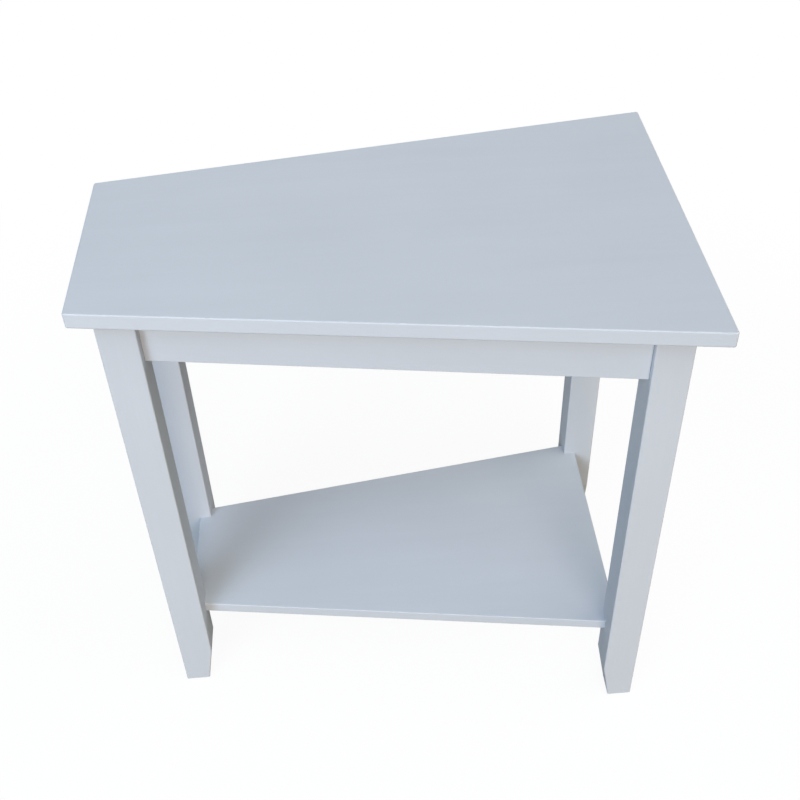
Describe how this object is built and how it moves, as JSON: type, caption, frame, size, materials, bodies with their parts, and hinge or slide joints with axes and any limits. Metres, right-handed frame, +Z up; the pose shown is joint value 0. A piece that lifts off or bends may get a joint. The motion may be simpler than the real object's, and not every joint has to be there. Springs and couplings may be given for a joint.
{
  "type": "side table",
  "caption": "Small painted wooden side table with a wedge-shaped top, tapered feet, aprons and a matching lower shelf.",
  "frame": {"origin": "on the floor, under the middle of the top", "axes": "+X along the table from its narrow end to its wide end, +Y from the near flank to the far one, +Z up"},
  "size_m": [0.608, 0.4052, 0.61],
  "materials": {
    "painted_wood": "satin paint, pale cool grey-white",
    "bare_wood": "sanded, unfinished",
    "zinc_steel": "zinc plated"
  },
  "bodies": {
    "root": {"top_panel": "painted_wood", "shelf": "painted_wood", "apron_near": "painted_wood", "apron_far": "painted_wood", "apron_narrow_end": "painted_wood", "apron_wide_end": "painted_wood", "leg_narrow_near": "painted_wood", "leg_narrow_far": "painted_wood", "leg_wide_near": "painted_wood", "leg_wide_far": "painted_wood", "corner_block_narrow_near": "bare_wood", "corner_block_narrow_far": "bare_wood", "corner_block_wide_near": "bare_wood", "corner_block_wide_far": "bare_wood", "apron_dowels": "bare_wood", "hanger_bolts": "zinc_steel", "bolt_washers": "zinc_steel", "wing_nuts": "zinc_steel", "block_screws": "zinc_steel", "top_screws": "zinc_steel", "shelf_screws": "zinc_steel"}
  },
  "joints": []
}
